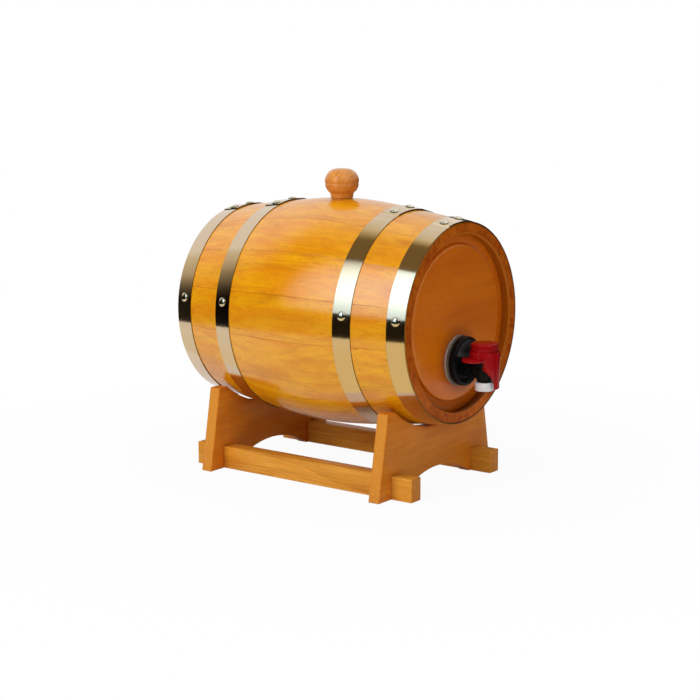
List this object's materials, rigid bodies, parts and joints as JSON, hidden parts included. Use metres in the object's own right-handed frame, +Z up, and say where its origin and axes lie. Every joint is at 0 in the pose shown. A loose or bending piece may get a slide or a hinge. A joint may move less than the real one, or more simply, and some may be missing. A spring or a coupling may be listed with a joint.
{
  "type": "cask drink dispenser",
  "caption": "Small lacquered oak cask lying on a notched wooden stand, with brass hoops, a turned bung on top and a push tap with finger wings in the front head.",
  "frame": {"origin": "middle of the bounding box in X and Y, on the surface that the stand's feet rest on", "axes": "+Z is up. The cask lies along Y with its tap at the -Y end. X runs across the cask."},
  "size_m": [0.1556, 0.2204, 0.2103],
  "materials": {
    "honey_lacquered_wood": "clear gloss lacquer on golden oak",
    "head_wood": "clear satin lacquer on darker oak",
    "stand_wood": "satin lacquer",
    "bung_wood": "satin lacquer, turned",
    "pale_brass": "polished strip",
    "nail_steel": "brass-washed dome nails",
    "black_plastic": "moulded, satin",
    "red_plastic": "moulded, gloss",
    "grey_plastic": "moulded, satin",
    "white_plastic": "moulded, gloss"
  },
  "bodies": {
    "stand": {"front_cradle": "stand_wood", "rear_cradle": "stand_wood", "left_rail": "stand_wood", "right_rail": "stand_wood"},
    "cask": {"stave_01": "honey_lacquered_wood", "stave_02": "honey_lacquered_wood", "stave_03": "honey_lacquered_wood", "stave_04": "honey_lacquered_wood", "stave_05": "honey_lacquered_wood", "stave_06": "honey_lacquered_wood", "stave_07": "honey_lacquered_wood", "stave_08": "honey_lacquered_wood", "stave_09": "honey_lacquered_wood", "stave_10": "honey_lacquered_wood", "stave_11": "honey_lacquered_wood", "stave_12": "honey_lacquered_wood", "stave_13": "honey_lacquered_wood", "stave_14": "honey_lacquered_wood", "stave_15": "honey_lacquered_wood", "stave_16": "honey_lacquered_wood", "front_head": "head_wood", "rear_head": "head_wood", "front_end_hoop": "pale_brass", "front_quarter_hoop": "pale_brass", "rear_quarter_hoop": "pale_brass", "rear_end_hoop": "pale_brass", "front_end_nail_1": "nail_steel", "front_end_nail_2": "nail_steel", "front_end_nail_3": "nail_steel", "front_end_nail_4": "nail_steel", "front_quarter_nail_1": "nail_steel", "front_quarter_nail_2": "nail_steel", "front_quarter_nail_3": "nail_steel", "front_quarter_nail_4": "nail_steel", "rear_quarter_nail_1": "nail_steel", "rear_quarter_nail_2": "nail_steel", "rear_quarter_nail_3": "nail_steel", "rear_quarter_nail_4": "nail_steel", "rear_end_nail_1": "nail_steel", "rear_end_nail_2": "nail_steel", "rear_end_nail_3": "nail_steel", "rear_end_nail_4": "nail_steel", "tap_gland": "grey_plastic", "gland_nut": "grey_plastic", "tap_body": "black_plastic", "wing_collar": "red_plastic", "spout_ring": "white_plastic"},
    "bung": {"bung": "bung_wood"},
    "button": {"tap_button": "red_plastic", "valve_stem": "white_plastic"}
  },
  "joints": [
    {"name": "cask_lift", "type": "slide", "parent": "stand", "child": "cask", "axis": [0, 0, 1], "range_m": [0, 0.06]},
    {"name": "bung_pull", "type": "slide", "parent": "cask", "child": "bung", "axis": [0, 0, 1], "range_m": [0, 0.04]},
    {"name": "button_press", "type": "slide", "parent": "cask", "child": "button", "axis": [0, 0, -1], "range_m": [0, 0.004], "stiffness_N_per_m": 800, "springref_m": -0.004}
  ]
}
